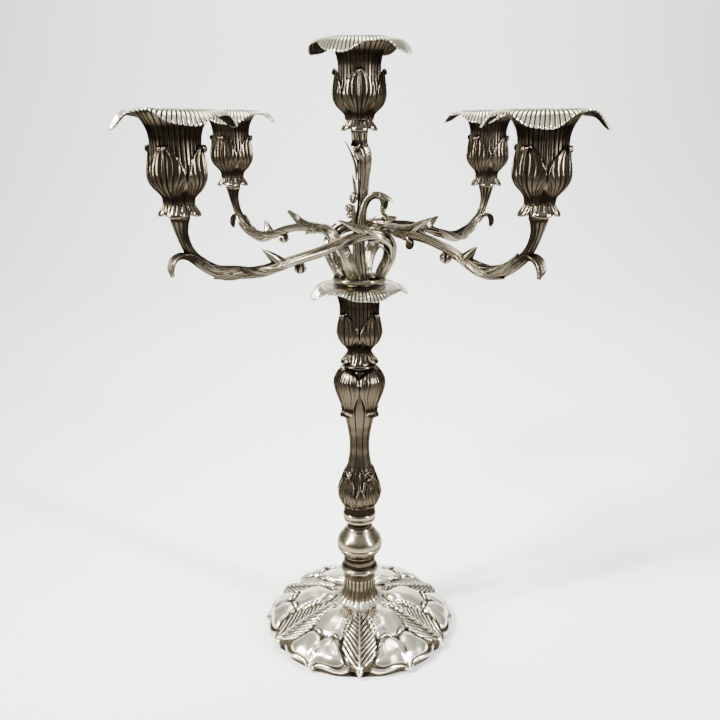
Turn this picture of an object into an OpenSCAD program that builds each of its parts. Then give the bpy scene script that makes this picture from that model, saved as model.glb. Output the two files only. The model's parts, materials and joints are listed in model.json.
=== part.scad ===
// Five-light candelabrum. A baluster candlestick on a lobed foot carries a lift-off branch
// unit: four scrolling arms and a centre stem, each ending in a tulip cup with a loose drip pan.
// Origin: centre of the foot, on the table. +Z up. The arms point 45 degrees off the X and Y axes.

/* [Heights] */
// Waist of the candlestick's own cup, above the table
stick_waist_z = 312; // [306:1:318]
// Waist of the four arm cups, above the table
arm_waist_z = 473; // [470:1:476]
// Waist of the centre cup, above the table
centre_waist_z = 534; // [530:1:560]

/* [Foot] */
// Radius of the foot at the tips of its six panels
foot_r = 103; // [98:1:112]
// Height of the plain skirt under the foot's edge
skirt_h = 8; // [6:1:8]

/* [Arms] */
// Distance from the centre line to each arm's cup
arm_reach = 197; // [194:1:210]
// Thickness of the arms, as a share of the drawn one
arm_girth = 1; // [0.9:0.05:1.15]

/* [Cups and pans] */
// Radius of a drip pan at the tips of its petals
pan_r = 48.5; // [44:0.5:52]
// How far the petal tips hang below the flat of the pan
pan_droop = 13.5; // [8:0.5:15]
// Radius of the hole for the candle
candle_r = 11.2; // [10.5:0.1:11.4]
// Depth of the nozzle tube below the pan
nozzle_depth = 24; // [20:1:26]

/* [Hidden] */

// The four arms in turn: front left, front right, back right, back left.
arm_angles = [225, 315, 45, 135];
// How far each casting's middle is bent down
arm_dips = [13, -1, 0, 1];
// Turn of each arm's pan, and of its calyx, about the cup's axis
pan_turns = [24, -12, -18, 5];
calyx_turns = [-14, 45, 50, -19];
centre_pan_turn = -24;
stick_pan_turn = 13;

silver = [0.78, 0.77, 0.73];
bright = [0.88, 0.87, 0.83];
aged = [0.55, 0.53, 0.48];
brass = [0.75, 0.62, 0.35];

// Fits
touch_gap = 0.7;     // between a curved skin and what it lies on
nozzle_gap = 0.2;    // radial, nozzle tube in its cup
spigot_gap = 0.1;    // radial, spigot in the nozzle
rod_r = 3;
rod_hole_r = 3.2;

// Heights that follow from the driving ones
cup_h = 64;
pan_t = 2;
flange_t = 0.6;
collar_h = 16;
shoulder_t = 2.5;
plate_z = stick_waist_z + cup_h + pan_t + shoulder_t;
plate_t = 3;
plate_r = 26;
arm_foot_z = plate_z + plate_t;
tube_r = candle_r + 1.6;
seat_r = tube_r + nozzle_gap;

// ---------- lists and curves ----------

function flip(list) = [for (i = [len(list) - 1:-1:0]) list[i]];
function unit(v) = v / norm(v);

// A point of the Catmull-Rom curve through p, t of the way from p[i] to p[i + 1]
function curve_point(p, i, t) =
    let (a = p[max(i - 1, 0)], b = p[i], c = p[i + 1], d = p[min(i + 2, len(p) - 1)])
    0.5 * (2 * b + (c - a) * t + (2 * a - 5 * b + 4 * c - d) * t * t + (3 * b - a - 3 * c + d) * t * t * t);
function curve(p, steps) =
    concat([for (i = [0:len(p) - 2], k = [0:steps - 1]) curve_point(p, i, k / steps)], [p[len(p) - 1]]);

// ---------- solids ----------

// Turned solid. profile is a closed list of [radius, height].
module turned(profile) rotate_extrude($fn = 96) polygon(profile);

// Hollow turned piece threaded on the rod. side lists [height, radius] from the bottom up.
module hollow_turned(side, wall = 2, cap = 3) {
    outer = curve(side, 3);
    low = side[0][0];
    high = side[len(side) - 1][0];
    inside = [for (p = flip(outer)) if (p[0] > low + cap && p[0] < high - cap) [p[1] - wall, p[0]]];
    turned(concat(
        [for (p = outer) [p[1], p[0]]],
        [[rod_hole_r, high], [rod_hole_r, high - cap], [lookup(high - cap, outer) - wall, high - cap]],
        inside,
        [[lookup(low + cap, outer) - wall, low + cap], [rod_hole_r, low + cap], [rod_hole_r, low]]));
}

// Tube along points [x, y, z, radius], flat at both ends, which face along first and last.
module tube(path, first, last, sides = 8, roll = [0, 1, 0]) {
    n = len(path);
    at = [for (q = path) [q[0], q[1], q[2]]];
    along = [for (i = [0:n - 1])
        i == 0 ? first : i == n - 1 ? last : unit(at[i + 1] - at[i - 1])];
    side = [for (d = along) unit(cross(d, roll))];
    points = [for (i = [0:n - 1], k = [0:sides - 1])
        at[i] + path[i][3] * (cos(360 * k / sides) * side[i] + sin(360 * k / sides) * cross(along[i], side[i]))];
    walls = [for (i = [0:n - 2], k = [0:sides - 1])
        let (a = i * sides + k, b = i * sides + (k + 1) % sides)
        each [[a, a + sides, b], [b, a + sides, b + sides]]];
    polyhedron(points, concat(walls,
        [[for (k = [0:sides - 1]) k], [for (k = [sides - 1:-1:0]) (n - 1) * sides + k]]));
}

// Closed ring made of one cross-section after another round the Z axis.
// sections[i] is a closed list of [radius, height], anticlockwise, at angle 360 * i / len(sections).
module ring_of(sections) {
    n = len(sections);
    m = len(sections[0]);
    points = [for (i = [0:n - 1], k = [0:m - 1])
        [sections[i][k][0] * cos(360 * i / n), sections[i][k][0] * sin(360 * i / n), sections[i][k][1]]];
    polyhedron(points, [for (i = [0:n - 1], k = [0:m - 1])
        let (a = i * m + k, b = i * m + (k + 1) % m, c = ((i + 1) % n) * m + k, d = ((i + 1) % n) * m + (k + 1) % m)
        each [[a, b, c], [b, d, c]]]);
}

module place_arm(i) rotate(arm_angles[i]) children();
module place_cup(i) rotate(arm_angles[i]) translate([arm_reach, 0, arm_waist_z]) rotate(-arm_angles[i]) children();

// ---------- foot ----------

// Angle from the middle of the nearest panel, 0 to 30 degrees
function panel_angle(a) = abs((a + 30) % 60 - 30);
// The foot's edge: a point in the middle of each panel, a lobe, a notch, and the tip of the leaf between panels
foot_edge = [[0, 0], [3, -2.6], [8, -4.4], [14, -3.2], [20, -4.6], [25, -7.4], [28, -4.6], [30, -1.6]];
function edge_r(a) = foot_r + lookup(panel_angle(a), foot_edge);
module foot_outline(inset) polygon([for (a = [0:2.5:357.5]) (edge_r(a) - inset) * [cos(a), sin(a)]]);

module foot_skirt() color(aged)
    linear_extrude(skirt_h)
        difference() {
            foot_outline(1.5);
            foot_outline(4);
        }

neck_r = 16.5;
neck_top_z = 64;
dome_r = 22;
// Neck of the foot, [radius, height] down to where the dome starts
foot_neck = [[neck_r, neck_top_z], [neck_r, 48], [neck_r + 0.5, 43], [18.4, 38.6], [dome_r, 34.4]];
// Height of the dome at shares of the way out to the edge
dome = [[0, 34.4], [0.08, 32], [0.22, 30.4], [0.42, 29], [0.6, 25.6], [0.76, 22], [0.88, 17], [0.96, 11.4], [1, 9.8]];
lobe_rise = 3.2;
function lobe(f, a) =
    lobe_rise * (exp(-pow((f - 0.42) / 0.14, 2)) + 0.9 * exp(-pow((f - 0.76) / 0.1, 2))) * exp(-pow(panel_angle(a) / 15, 2));
function dome_point(f, a, drop) = [dome_r + f * (edge_r(a) - dome_r), lookup(f, dome) + lobe(f, a) - drop];
foot_wall = 1.8;
// Flat seat inside the neck, for the washer
seat_z = 28.5;
foot_inside = [[27, seat_z], [19.5, seat_z], [neck_r - foot_wall, 40], [neck_r - foot_wall, neck_top_z]];
module foot_shell() color(bright)
    ring_of([for (a = [0:5:355]) flip(concat(
        foot_inside,
        foot_neck,
        [for (d = dome) if (d[0] > 0) dome_point(d[0], a, 0)],
        [[edge_r(a), skirt_h], [edge_r(a) - 5, skirt_h]],
        [for (d = flip(dome)) if (d[0] > 0 && d[0] < 0.93) dome_point(d[0], a, foot_wall)]))]);

washer_t = 2.4;
module foot_washer() color(brass)
    turned([[rod_hole_r, seat_z - washer_t], [24, seat_z - washer_t], [26, seat_z - 1.4], [26, seat_z], [rod_hole_r, seat_z]]);

nut_h = 4.5;
module nut(r, h, hole) difference() {
    cylinder(r = r, h = h, $fn = 6);
    translate([0, 0, -1]) cylinder(r = hole, h = h + 2, $fn = 48);
}
module foot_nut() color(brass) translate([0, 0, seat_z - washer_t - nut_h]) nut(6, nut_h, rod_r);
rod_foot_z = seat_z - washer_t - nut_h - 3;
module tie_rod() color(brass)
    translate([0, 0, rod_foot_z]) cylinder(r = rod_r, h = stick_waist_z + 10 - rod_foot_z, $fn = 48);

// ---------- candlestick ----------

module foot_collar() color(silver)
    hollow_turned([[64, 17.3], [66, 18.6], [68.5, 19.4], [71, 18.8], [73, 17.2], [77, 16.7], [82, 16.7], [85, 17.2], [88, 18.8]]);
module lower_knop() color(silver)
    hollow_turned([[88, 18.8], [91, 21.6], [95, 23.3], [99, 23.5], [103, 22.8], [106, 21.4], [109, 19.2], [112, 16.6], [115, 14.2], [118, 13.2]]);
module ring_collar() color(silver)
    hollow_turned([[118, 13.2], [121, 12.8], [124, 14.2], [127, 16.4], [131, 17.2], [134, 16.6], [138, 16.1], [142, 16.4], [145, 18]]);
baluster_side = [
    [145, 18], [148, 20], [151, 21.6], [155, 22], [160, 21], [166, 19.2], [172, 17.2], [178, 15.2], [184, 13.2], [190, 11.6],
    [197, 10.3], [206, 9.7], [216, 10], [226, 11.2], [236, 13], [245, 14.6], [255, 15.6], [270, 16], [283, 15.6], [292, 14.6]];
module baluster() color(silver) hollow_turned(baluster_side);

calyx_sections = 32;
// Hole in the thin flange by which each ring of leaves is clamped
flange_r = 4;
leaf_t = 1.6;
calyx_leaves = 4;
function leaf_share(a) = 0.5 + 0.5 * cos(calyx_leaves * a);
shoulder_side = [
    [246, 19.2], [250, 18.8], [255, 19.6], [261, 21.6], [267, 23.6], [273, 25.2], [279, 25.7], [284, 24.8], [288.6, 22.4],
    [291.5, 20], [293, 18.6]];
// Four leaves hanging from the shoulder, their tips on the diagonals
module shoulder_calyx() color(silver) {
    top = 293;
    under = 291.5;
    tip = 247;
    gap = 267;
    ring_of([for (i = [0:calyx_sections - 1])
        let (low = gap + (tip - gap) * leaf_share(360 * i / calyx_sections + 45))
        concat(
            [[flange_r, top], [flange_r, top - 1], [15.4, top - 1]],
            [for (k = [0:6]) let (z = under - k * (under - low) / 6) [lookup(z, shoulder_side) - leaf_t, z]],
            [for (k = [0:8]) let (z = low + k * (top - low) / 8) [lookup(z, shoulder_side), z]])]);
}

module neck_knop() color(silver)
    hollow_turned([[293, 14.6], [296, 16.4], [299, 17.9], [302, 17.4], [305, 15.4], [308, 13.2], [311, 11.2]], cap = 2.5);

// ---------- cup, calyx, collar, pan and nozzle, each drawn from the cup's waist ----------

cup_side = [[0, 10.8], [3, 12.2], [6, 15.2], [9, 18], [13, 20.2], [17, 20.8], [24, 20.4], [32, 19.6], [40, 19.3], [46, 19.8], [52, 21.5], [57, 24.3], [61, 27.1], [cup_h, 29]];
cup_outer = curve(cup_side, 3);
cup_wall = 2;
cup_floor = 4;
module cup() color(silver)
    turned(concat(
        [for (p = cup_outer) [p[1], p[0]]],
        [[26.6, cup_h], [23.6, 60], [19.5, 55.5], [seat_r + 2, 53.6], [seat_r, 52], [seat_r, 44], [seat_r + 2, 42.4]],
        [for (p = flip(cup_outer)) if (p[0] > 5.5 && p[0] < 40.5) [p[1] - cup_wall, p[0]]],
        [[9, cup_floor], [rod_hole_r, cup_floor], [rod_hole_r, 0]]));

// Four leaves wrapped round the lower part of the cup
module calyx() color(silver) {
    tip = 39;
    gap = 20;
    levels = [0, 0.1, 0.2, 0.33, 0.5, 0.68, 0.84, 1];
    ring_of([for (i = [0:calyx_sections - 1])
        let (s = leaf_share(360 * i / calyx_sections), top = gap + (tip - gap) * s)
        concat(
            [[flange_r, 0], [flange_r, -1], [11.4, -1]],
            [for (k = [1:7]) [lookup(levels[k] * top, cup_outer) + touch_gap + 1.1 + (k == 7 ? 1.6 * s : 0), levels[k] * top]],
            [for (k = [7:-1:0]) [lookup(levels[k] * top, cup_outer) + touch_gap + (k == 7 ? 1.4 * s : 0), levels[k] * top]])]);
}

// Ruffled collar under the cup: four scrolled petals
module collar() color(silver) {
    n = 32;
    ring_of([for (i = [0:n - 1])
        let (s = leaf_share(360 * i / n), r = 11.5 + 4.3 * s, z = -8.5 - 3 * s)
        [[flange_r, -1], [flange_r, -collar_h], [7.8, -collar_h], [9.5, z - 2.4], [r, z - 1.6], [r + 0.4, z], [10.2, -6], [8.6, -3], [9.8, -1]]]);
}

pan_sections = 48;
pan_hole_r = tube_r / cos(180 / pan_sections) + 0.05;
// Petals: share of the way out from the flat, and height, along a tip and along a notch
pan_top = cup_h + pan_t - flange_t;
pan_tip_line = [[0, 0], [0.3, 0.1], [0.6, -0.9], [0.85, -0.5 * pan_droop], [1, -pan_droop]];
pan_notch_line = [[0, 0], [0.3, -0.1], [0.6, -0.4], [0.85, -1], [1, -2]];
pan_flat_r = 27.5;
notch_depth = 5.5;
pan_skin = 1.3;
module pan() color(bright)
    ring_of([for (i = [0:pan_sections - 1])
        let (s = leaf_share(360 * i / pan_sections), r = pan_r - notch_depth * (1 - s),
             line = [for (k = [0:4]) [pan_flat_r + (r - pan_flat_r) * pan_tip_line[k][0],
                                      pan_top + s * pan_tip_line[k][1] + (1 - s) * pan_notch_line[k][1]]])
        concat([[pan_hole_r, pan_top], [pan_hole_r, cup_h], [29.6, cup_h]],
               [for (k = [1:4]) [line[k][0] + (k == 4 ? -0.8 : 0.4), min(line[k][1] - pan_skin, k == 1 ? cup_h - 0.2 : 999)]],
               flip(line))]);

module nozzle() color(bright)
    turned([[tube_r, cup_h - nozzle_depth], [tube_r, pan_top], [tube_r + 1.8, pan_top], [tube_r + 1.8, pan_top + flange_t],
            [candle_r, pan_top + flange_t], [candle_r, cup_h - nozzle_depth + 1.2], [0, cup_h - nozzle_depth + 1.2],
            [0, cup_h - nozzle_depth]]);

module stick_cup() translate([0, 0, stick_waist_z]) cup();
module stick_calyx() translate([0, 0, stick_waist_z]) rotate(45) calyx();
module stick_cup_nut() color(brass) translate([0, 0, stick_waist_z + cup_floor]) nut(5.5, nut_h, rod_r);
module stick_pan() translate([0, 0, stick_waist_z]) rotate(stick_pan_turn) pan();
module stick_nozzle() translate([0, 0, stick_waist_z]) nozzle();

// ---------- branch unit ----------

arm_foot = [-8, 17];
stud_r = 2.5;
stud_hole_r = 2.6;
module branch_plate() color(silver)
    difference() {
        turned([[flange_r, plate_z], [plate_r - 0.4, plate_z], [plate_r, plate_z + 1], [plate_r, plate_z + 3],
                [plate_r - 1.4, plate_z + 4.2], [plate_r - 3, plate_z + plate_t], [flange_r, plate_z + plate_t]]);
        for (i = [0:3]) place_arm(i)
            translate([arm_foot[0], arm_foot[1], plate_z - 1]) cylinder(r = stud_hole_r, h = plate_t + 2, $fn = 48);
    }

// The spigot drops into the candlestick's nozzle; its shoulder rests on the nozzle's rim
spigot_r = candle_r - spigot_gap;
spigot_len = nozzle_depth - 4;
module branch_spigot() color(silver)
    turned([[0, plate_z - shoulder_t - spigot_len], [spigot_r - 1.5, plate_z - shoulder_t - spigot_len],
            [spigot_r, plate_z - shoulder_t - spigot_len + 2], [spigot_r, plate_z - shoulder_t], [14, plate_z - shoulder_t],
            [14, plate_z], [flange_r, plate_z], [flange_r, plate_z + plate_t], [0, plate_z + plate_t]]);

stud_len = collar_h + cup_floor + nut_h + 0.8;
collar_foot_z = centre_waist_z - collar_h;
stem_height = collar_foot_z - arm_foot_z;
// Centre stem: [x offset, share of the height, radius]
stem_line = [[0, 0, 7.6], [0, 0.06, 6.8], [-0.5, 0.22, 6.2], [1.5, 0.42, 6], [3.4, 0.6, 6.2], [4, 0.76, 7.2],
             [3, 0.86, 8.2], [0.4, 0.94, 8], [0, 0.97, 7.6], [0, 1, 7.6]];
// Drooping flower on the stem's right: [x, y, height above the plate, radius]
tendril_line = [[1, -3, 38, 3], [3, -7, 50, 2.8], [4, -9.5, 62, 2.6], [8, -11, 73, 2.6], [15, -11.6, 78, 3], [22, -11.6, 76, 3.6],
                [25, -11.6, 69, 2.6], [23.5, -11.6, 62, 3.4], [22, -11.6, 56, 1]];
// Bud on a stalk on the stem's left
sprig_line = [[-2, -1, 44, 2], [-7, -2, 51, 2.2], [-11, -3, 58, 3.2], [-11.6, -3, 66, 2.4], [-10.6, -3, 72, 3], [-9.8, -3, 80, 0.8]];
module stem_twig(line) {
    path = curve([for (p = line) [p[0], p[1], arm_foot_z + p[2], p[3]]], 2);
    last = len(path) - 1;
    at = [for (p = path) [p[0], p[1], p[2]]];
    tube(path, unit(at[1] - at[0]), unit(at[last] - at[last - 1]));
}
module centre_stem() color(silver) {
    tube([for (p = curve(stem_line, 3)) [p[0], 0, arm_foot_z + p[1] * stem_height, p[2]]], [0, 0, 1], [0, 0, 1], 12);
    translate([0, 0, collar_foot_z]) cylinder(r = rod_r, h = stud_len, $fn = 48);
    stem_twig(tendril_line);
    stem_twig(sprig_line);
}

module centre_collar() translate([0, 0, centre_waist_z]) collar();
module centre_cup() translate([0, 0, centre_waist_z]) cup();
module centre_calyx() translate([0, 0, centre_waist_z]) calyx();

// An arm drawn along +X: [out, across, height above the plate, radius, share of the casting's own dip]
arm_drop = arm_waist_z - collar_h - arm_foot_z;
arm_line = [
    [arm_foot[0], arm_foot[1], 0, 4.8, 0], [-10.5, 21, 9, 4.2, 0], [-12, 27, 21, 4, 0], [-8, 31, 33, 4, 0],
    [3, 31, 42, 4.3, 0], [18, 25, 46, 4.6, 0.1], [36, 17, 45.5, 4.4, 0.4], [58, 11.5, 44.5, 4.2, 0.85],
    [80, 8, 42.5, 4.2, 1], [105, 5, 37, 4.3, 0.9], [128, 3, 29, 4.5, 0.5], [148, 2, 24.5, 4.9, 0],
    [167, 1, 28.5, 5.2, 0], [181, 0, 37, 5.3, 0], [190.5, 0, 48, 5.4, 0], [195.5, 0, 60, 5.8, 0],
    [arm_reach, 0, arm_drop - 4, 7.2, 0], [arm_reach, 0, arm_drop, 8, 0]];
function arm_path(dip, steps) =
    [for (p = curve(arm_line, steps)) [p[0], p[1], arm_foot_z + p[2] - dip * p[4], p[3] * arm_girth]];

// Leaf tips and thorns along an arm: [start, tip, radius at the start, share of the dip]
arm_thorns = [
    [[72, 9, 45], [92, 8, 58], 3.4, 1],
    [[132, 3, 31], [141, 2, 45], 3.4, 0.5],
    [[110, 5, 33], [104, 4, 23], 3, 0.8],
    [[190, 0, 46], [206, 0, 36], 3.6, 0]];
module thorn(t, dip) {
    raise = [0, 0, arm_foot_z - dip * t[3]];
    start = t[0] + raise;
    tip = t[1] + raise;
    mid = (start + tip) / 2 + [1.5, 0, -1];
    tube([[start[0], start[1], start[2], t[2]], [mid[0], mid[1], mid[2], t[2] * 0.66], [tip[0], tip[1], tip[2], 0.5]],
        unit(mid - start), unit(tip - mid), 6);
}
arm_nut_h = 1.9;
module arm(i) color(silver) place_arm(i) {
    tube(arm_path(arm_dips[i], 2), [0, 0, 1], [0, 0, 1]);
    for (t = arm_thorns) thorn(t, arm_dips[i]);
    translate([arm_foot[0], arm_foot[1], plate_z - arm_nut_h]) cylinder(r = stud_r, h = plate_t + arm_nut_h, $fn = 48);
    translate([arm_reach, 0, arm_waist_z - collar_h]) cylinder(r = rod_r, h = stud_len, $fn = 48);
}
module arm_front_left() arm(0);
module arm_front_right() arm(1);
module arm_back_right() arm(2);
module arm_back_left() arm(3);

module collar_front_left() place_cup(0) collar();
module collar_front_right() place_cup(1) collar();
module collar_back_right() place_cup(2) collar();
module collar_back_left() place_cup(3) collar();

module cup_front_left() place_cup(0) cup();
module cup_front_right() place_cup(1) cup();
module cup_back_right() place_cup(2) cup();
module cup_back_left() place_cup(3) cup();

module calyx_front_left() place_cup(0) rotate(calyx_turns[0]) calyx();
module calyx_front_right() place_cup(1) rotate(calyx_turns[1]) calyx();
module calyx_back_right() place_cup(2) rotate(calyx_turns[2]) calyx();
module calyx_back_left() place_cup(3) rotate(calyx_turns[3]) calyx();

// Flat nuts under the plate, one on each arm's stud
module arm_nuts() color(brass)
    for (i = [0:3]) place_arm(i)
        translate([arm_foot[0], arm_foot[1], plate_z - arm_nut_h]) nut(4.4, arm_nut_h, stud_r);

// Nuts that hold the five upper cups down on their stems
module cup_nuts() color(brass) {
    translate([0, 0, centre_waist_z + cup_floor]) nut(5.5, nut_h, rod_r);
    for (i = [0:3]) place_cup(i) translate([0, 0, cup_floor]) nut(5.5, nut_h, rod_r);
}

// ---------- loose pans of the branch unit ----------

module pan_centre() translate([0, 0, centre_waist_z]) rotate(centre_pan_turn) pan();
module pan_front_left() place_cup(0) rotate(pan_turns[0]) pan();
module pan_front_right() place_cup(1) rotate(pan_turns[1]) pan();
module pan_back_right() place_cup(2) rotate(pan_turns[2]) pan();
module pan_back_left() place_cup(3) rotate(pan_turns[3]) pan();

module nozzle_centre() translate([0, 0, centre_waist_z]) nozzle();
module nozzle_front_left() place_cup(0) nozzle();
module nozzle_front_right() place_cup(1) nozzle();
module nozzle_back_right() place_cup(2) nozzle();
module nozzle_back_left() place_cup(3) nozzle();

foot_skirt();
foot_shell();
foot_washer();
foot_nut();
tie_rod();
foot_collar();
lower_knop();
ring_collar();
baluster();
shoulder_calyx();
neck_knop();
stick_cup();
stick_calyx();
stick_cup_nut();
stick_pan();
stick_nozzle();
branch_plate();
branch_spigot();
centre_stem();
centre_collar();
centre_cup();
centre_calyx();
arm_front_left();
arm_front_right();
arm_back_right();
arm_back_left();
collar_front_left();
collar_front_right();
collar_back_right();
collar_back_left();
cup_front_left();
cup_front_right();
cup_back_right();
cup_back_left();
calyx_front_left();
calyx_front_right();
calyx_back_right();
calyx_back_left();
arm_nuts();
cup_nuts();
pan_centre();
pan_front_left();
pan_front_right();
pan_back_right();
pan_back_left();
nozzle_centre();
nozzle_front_left();
nozzle_front_right();
nozzle_back_right();
nozzle_back_left();
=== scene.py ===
import math

import bpy
import numpy as np
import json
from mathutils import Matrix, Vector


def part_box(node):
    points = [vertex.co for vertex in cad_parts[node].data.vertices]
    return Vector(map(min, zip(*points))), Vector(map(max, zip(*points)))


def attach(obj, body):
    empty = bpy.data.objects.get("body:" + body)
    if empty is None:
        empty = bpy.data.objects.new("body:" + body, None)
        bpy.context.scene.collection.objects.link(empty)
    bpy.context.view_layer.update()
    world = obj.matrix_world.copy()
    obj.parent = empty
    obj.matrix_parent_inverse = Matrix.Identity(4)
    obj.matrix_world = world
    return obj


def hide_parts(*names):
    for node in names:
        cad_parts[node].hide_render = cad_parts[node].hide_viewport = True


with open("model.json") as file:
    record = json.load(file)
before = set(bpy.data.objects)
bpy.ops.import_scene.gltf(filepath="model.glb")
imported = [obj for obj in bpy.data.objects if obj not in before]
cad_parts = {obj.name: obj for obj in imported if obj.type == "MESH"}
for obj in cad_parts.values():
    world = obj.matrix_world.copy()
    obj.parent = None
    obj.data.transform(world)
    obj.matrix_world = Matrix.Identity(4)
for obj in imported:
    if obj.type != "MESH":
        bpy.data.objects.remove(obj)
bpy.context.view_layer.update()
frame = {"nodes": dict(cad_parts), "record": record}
link = bpy.context.scene.collection.objects.link

TAU = 2 * math.pi
# Where each arm points, in degrees round from +X
SIDES = {"front_left": 225, "front_right": 315, "back_right": 45, "back_left": 135}
QUARTERS = (0, 90, 180, 270)
DIAGONALS = (45, 135, 225, 315)


def node_bottom(node):
    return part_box(node)[0][2] * 1000


def node_reach(node):
    """How far in mm the middle of a node is from the stem's axis."""
    low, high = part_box(node)
    return 1000 * math.hypot(low[0] + high[0], low[1] + high[1]) / 2


# Places in millimetres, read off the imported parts
STICK_WAIST = node_bottom("stick_cup")
ARM_WAIST = node_bottom("cup_front_left")
CENTRE_WAIST = node_bottom("centre_cup")
REACH = round(node_reach("nozzle_front_left"))
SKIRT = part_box("foot_skirt")[1][2] * 1000
PLATE_Z = node_bottom("branch_plate")
# Where the arms and the centre stem stand on the plate, and how tall a ruffled collar is
ARM_FOOT = PLATE_Z + 3
COLLAR = 16


# ---- curves and lookups ----

def spline(rows, steps):
    """Catmull-Rom curve through rows of numbers, steps samples to a span."""
    p = np.array(rows, float)
    p = np.vstack([2 * p[0] - p[1], p, 2 * p[-1] - p[-2]])
    t = (np.arange(steps) / steps)[:, None]
    spans = []
    for a, b, c, d in zip(p[:-3], p[1:-2], p[2:-1], p[3:]):
        squared = 2 * a - 5 * b + 4 * c - d
        cubed = 3 * b - a - 3 * c + d
        spans.append(0.5 * (2 * b + (c - a) * t + squared * t**2 + cubed * t**3))
    return np.vstack(spans + [p[-2:-1]])


def lookup(rows, steps=5):
    """Smooth function through (key, value) rows with rising keys."""
    curve = spline(rows, steps)
    return lambda x: np.interp(x, curve[:, 0], curve[:, 1])


def even(points, count):
    """The same polyline with count points evenly spaced along it."""
    points = np.asarray(points, float)
    run = np.concatenate([[0], np.cumsum(np.linalg.norm(np.diff(points[:, :3], axis=0), axis=1))])
    at = np.linspace(0, run[-1], count)
    return np.column_stack([np.interp(at, run, column) for column in points.T])


def step(x, low, high):
    """Smooth rise from 0 at low to 1 at high."""
    t = np.clip((x - low) / (high - low), 0, 1)
    return t * t * (3 - 2 * t)


def hump(x, width):
    """Bell curve that is 1 at 0."""
    return np.exp(-(x / width) ** 2)


def unit(v):
    return v / np.maximum(np.linalg.norm(v, axis=-1, keepdims=True), 1e-9)


def turned_about_z(points, degrees):
    a = math.radians(degrees)
    x, y, z = points[..., 0], points[..., 1], points[..., 2]
    return np.stack([x * math.cos(a) - y * math.sin(a), x * math.sin(a) + y * math.cos(a), z], -1)


# ---- meshes ----

# Grid points over which a hollow is looked for, and the most in mm that each look counts
HOLLOW_SPANS = (1, 3, 6)
HOLLOW_MOST = 0.6


def hollowness(grid, around, sign):
    """How far in mm each point lies below its neighbours, summed over the spans."""
    pad = max(HOLLOW_SPANS)
    wide = np.pad(grid, ((pad, pad), (0, 0), (0, 0)), mode="wrap" if around else "edge")
    wide = np.pad(wide, ((0, 0), (pad, pad), (0, 0)), mode="wrap")

    def moved(rows, columns):
        top, left = pad + rows, pad + columns
        return wide[top:top + grid.shape[0], left:left + grid.shape[1]]

    normal = sign * unit(np.cross(moved(1, 0) - moved(-1, 0), moved(0, 1) - moved(0, -1)))
    total = np.zeros(grid.shape[:2])
    for span in HOLLOW_SPANS:
        for rows, columns in ((span, 0), (0, span)):
            rise = 0.5 * (moved(rows, columns) + moved(-rows, -columns)) - grid
            total += np.clip(np.einsum("ijk,ijk->ij", rise, normal), 0, HOLLOW_MOST)
    return total.ravel()


def shell(grid, caps=False):
    """Closed surface over a grid of points. Its columns join up, and its rows too unless they have caps."""
    rows, columns = grid.shape[:2]
    index = np.arange(rows * columns).reshape(rows, columns)
    if not caps:
        index = np.vstack([index, index[:1]])
    index = np.hstack([index, index[:, :1]])
    corners = [index[:-1, :-1], index[1:, :-1], index[1:, 1:], index[:-1, 1:]]
    quads = np.stack(corners, -1).reshape(-1, 4)
    verts = grid.reshape(-1, 3)
    a, b, c, d = (verts[quads[:, k]] for k in range(4))
    volume = np.einsum("ij,ij->", a, np.cross(b, c)) + np.einsum("ij,ij->", a, np.cross(c, d))
    faces = quads.tolist()
    if caps:
        faces += [index[0, :columns][::-1].tolist(), index[-1, :columns].tolist()]
    if volume < 0:
        faces = [face[::-1] for face in faces]
    return verts, faces, hollowness(grid, not caps, 1 if volume > 0 else -1)


def mesh(name, shells):
    """One smooth mesh, in metres, from a list of shells in millimetres."""
    verts, faces, darkening, count = [], [], [], 0
    for points, polygons, hollow_and_painted_light in shells:
        verts.append(points)
        darkening.append(hollow_and_painted_light)
        faces += [[k + count for k in face] for face in polygons]
        count += len(points)
    data = bpy.data.meshes.new(name)
    data.from_pydata((np.vstack(verts) / 1000).tolist(), [], faces)
    # Per-point darkness for the silver: hollowness, for oxide in the grooves, plus painted shade and painted
    # highlight added to some parts
    field = data.attributes.new("hollow_and_painted_light", "FLOAT", "POINT")
    field.data.foreach_set("value", np.concatenate(darkening).astype(np.float32))
    data.shade_smooth()
    data.update()
    return data


def swung(shells, degrees):
    """The same shells turned about the vertical axis."""
    return [(turned_about_z(points, degrees), faces, hollow_and_painted_light) for points, faces, hollow_and_painted_light in shells]


def toned_by_place(shells, amount):
    """The same shells with amount added to their darkness, by distance off the middle axis and height; a
    negative amount lightens them. Where this paints shade or highlight is said at each use.
    """
    return [(points, faces, hollow_and_painted_light + amount(np.hypot(points[:, 0], points[:, 1]), points[:, 2]))
            for points, faces, hollow_and_painted_light in shells]


SLOTS = {part["node"]: part["material_slot"] for part in frame["record"]["subparts"]}


def piece(node, kind, data, body, material, at=(0, 0, 0), turn=0):
    """Put node_kind in place of a node. data is a mesh or its shells, at is in mm and turn in degrees."""
    name = f"{node}_{kind}"
    if isinstance(data, list):
        data = mesh(name, data)
    obj = bpy.data.objects.new(name, data)
    link(obj)
    obj.location = [v / 1000 for v in at]
    obj.rotation_euler = (0, 0, math.radians(turn))
    if not data.materials:
        data.materials.append(material)
    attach(obj, body)
    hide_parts(node)


def revolve(radius, height, angle):
    """Grid of points from radius and height arrays over angles in radians."""
    radius, height, angle = np.broadcast_arrays(radius, height, angle)
    return np.stack([radius * np.cos(angle), radius * np.sin(angle), height], -1)


def angles(count):
    return (np.arange(count) * TAU / count)[:, None]


def turned(side, bore=3.2, relief=None, around=192):
    """Turned piece: side is (height, radius) upwards; relief(angle, height) is added to the radius."""
    outer = spline(side, 5)
    z, r = outer[:, 0][None], outer[:, 1][None]
    a = angles(around)
    rr = r + (relief(a, z) if relief else 0)
    inside = revolve(np.full((around, 2), bore), np.array([[z[0, -1], z[0, 0]]]), a)
    return shell(np.concatenate([revolve(rr + 0 * a, z, a), inside], 1))


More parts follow.
